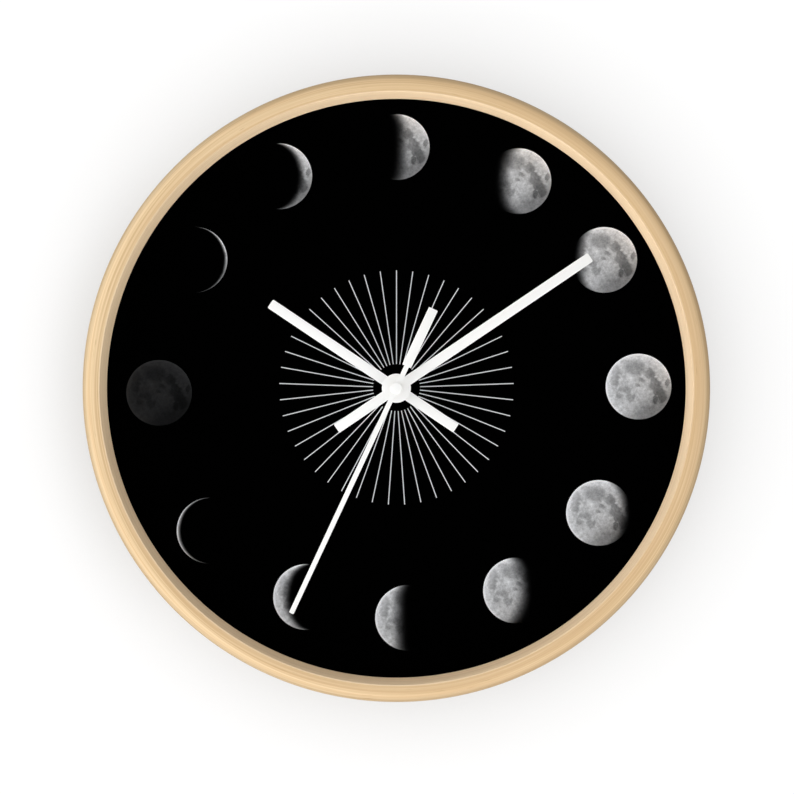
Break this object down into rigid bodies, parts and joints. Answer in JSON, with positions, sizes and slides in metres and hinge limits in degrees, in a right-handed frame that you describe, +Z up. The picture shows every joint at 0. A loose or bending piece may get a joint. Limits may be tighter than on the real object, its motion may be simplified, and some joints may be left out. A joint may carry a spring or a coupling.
{
  "type": "moon phase wall clock",
  "caption": "Round wall clock with a bentwood hoop frame, black dial printed with the moon's phases, white hands, and a battery quartz movement behind.",
  "frame": {"origin": "rear face of the hanger strap's keyhole tab, on the clock's vertical centre line, 4 mm above the top of the slot, where the clock hangs on a wall hook", "axes": "+Z up through twelve o'clock, +Y into the wall with the dial facing -Y, +X to the right of someone reading the dial; the wall lies at Y = 2 mm and the hands' axis at Z = -49.8 mm"},
  "size_m": [0.254, 0.04, 0.254],
  "materials": {
    "wood": "bent pale beech under clear satin lacquer",
    "acrylic": "clear polished acrylic sheet",
    "dial_print": "matt black print with white rays and grey moons",
    "fibreboard": "raw medium density fibreboard",
    "zinc_steel": "bright zinc plating",
    "black_rubber": "matt",
    "brass": "turned",
    "black_abs": "fine moulded texture",
    "natural_acetal": "moulded, natural",
    "red_acetal": "moulded, red",
    "white_paint": "matt white enamel on stamped aluminium",
    "nickel_steel": "nickel plated",
    "electrical_iron": "annealed, dull grey",
    "copper_wire": "enamelled winding wire",
    "plated_magnet": "nickel plated magnet",
    "circuit_laminate": "green solder resist",
    "cell_sleeve": "plain printed sleeve, no lettering"
  },
  "bodies": {
    "frame": {"hoop_frame": "wood", "acrylic_face": "acrylic", "dial_sheet": "dial_print", "dial_board": "fibreboard", "board_clip_1": "zinc_steel", "board_clip_2": "zinc_steel", "board_clip_3": "zinc_steel", "board_clip_4": "zinc_steel", "clip_screw_1": "zinc_steel", "clip_screw_2": "zinc_steel", "clip_screw_3": "zinc_steel", "clip_screw_4": "zinc_steel", "rubber_gasket": "black_rubber", "brass_washer": "brass", "hex_nut": "brass", "hanger_strap": "zinc_steel", "case_front": "black_abs", "case_back": "black_abs", "mid_plate": "natural_acetal", "contact_plus": "nickel_steel", "contact_minus": "nickel_steel", "circuit_board": "circuit_laminate", "chip_blob": "black_abs", "quartz_crystal": "nickel_steel", "stator_plate": "electrical_iron", "coil_core": "electrical_iron", "coil_bobbin": "natural_acetal", "coil_winding": "copper_wire"},
    "second": {"second_wheel": "natural_acetal", "second_arbor": "nickel_steel", "second_hand": "white_paint", "second_cap": "white_paint"},
    "third": {"third_wheel": "natural_acetal"},
    "minute": {"centre_wheel": "natural_acetal", "minute_pipe": "nickel_steel", "minute_hand": "white_paint"},
    "motion": {"minute_wheel": "natural_acetal"},
    "hour": {"hour_wheel": "black_abs", "hour_hand": "white_paint"},
    "setting": {"setting_knob": "black_abs"},
    "intermediate": {"intermediate_wheel": "natural_acetal"},
    "rotor": {"rotor_magnet": "plated_magnet", "rotor_pinion": "red_acetal"},
    "battery": {"battery_cell": "cell_sleeve"}
  },
  "joints": [
    {"name": "second_hand_turn", "type": "hinge", "parent": "frame", "child": "second", "pos_m": [0, 0, -0.04977], "axis": [0, 1, 0], "continuous": true},
    {"name": "minute_hand_turn", "type": "hinge", "parent": "frame", "child": "minute", "pos_m": [0, 0, -0.04977], "axis": [0, 1, 0], "continuous": true},
    {"name": "hour_hand_turn", "type": "hinge", "parent": "frame", "child": "hour", "pos_m": [0, 0, -0.04977], "axis": [0, 1, 0], "continuous": true},
    {"name": "third_wheel_turn", "type": "hinge", "parent": "frame", "child": "third", "pos_m": [0.0102, 0, -0.04977], "axis": [0, 1, 0], "continuous": true},
    {"name": "minute_wheel_turn", "type": "hinge", "parent": "frame", "child": "motion", "pos_m": [0.0048, 0, -0.04146], "axis": [0, 1, 0], "continuous": true},
    {"name": "setting_knob_turn", "type": "hinge", "parent": "frame", "child": "setting", "pos_m": [0.01353, 0, -0.03642], "axis": [0, 1, 0], "continuous": true},
    {"name": "intermediate_wheel_turn", "type": "hinge", "parent": "frame", "child": "intermediate", "pos_m": [-0.00892, 0, -0.04462], "axis": [0, 1, 0], "continuous": true},
    {"name": "rotor_turn", "type": "hinge", "parent": "frame", "child": "rotor", "pos_m": [-0.01433, 0, -0.0415], "axis": [0, 1, 0], "continuous": true},
    {"name": "battery_slide", "type": "slide", "parent": "frame", "child": "battery", "axis": [0, 1, 0], "range_m": [0, 0.018]}
  ],
  "couplings": [
    {"joint": "third_wheel_turn", "follows": "second_hand_turn", "ratio": -0.13333},
    {"joint": "minute_hand_turn", "follows": "second_hand_turn", "ratio": 0.016667},
    {"joint": "minute_wheel_turn", "follows": "second_hand_turn", "ratio": -0.0055556},
    {"joint": "hour_hand_turn", "follows": "second_hand_turn", "ratio": 0.0013889},
    {"joint": "setting_knob_turn", "follows": "second_hand_turn", "ratio": 0.013889},
    {"joint": "intermediate_wheel_turn", "follows": "second_hand_turn", "ratio": -6},
    {"joint": "rotor_turn", "follows": "second_hand_turn", "ratio": 30}
  ]
}
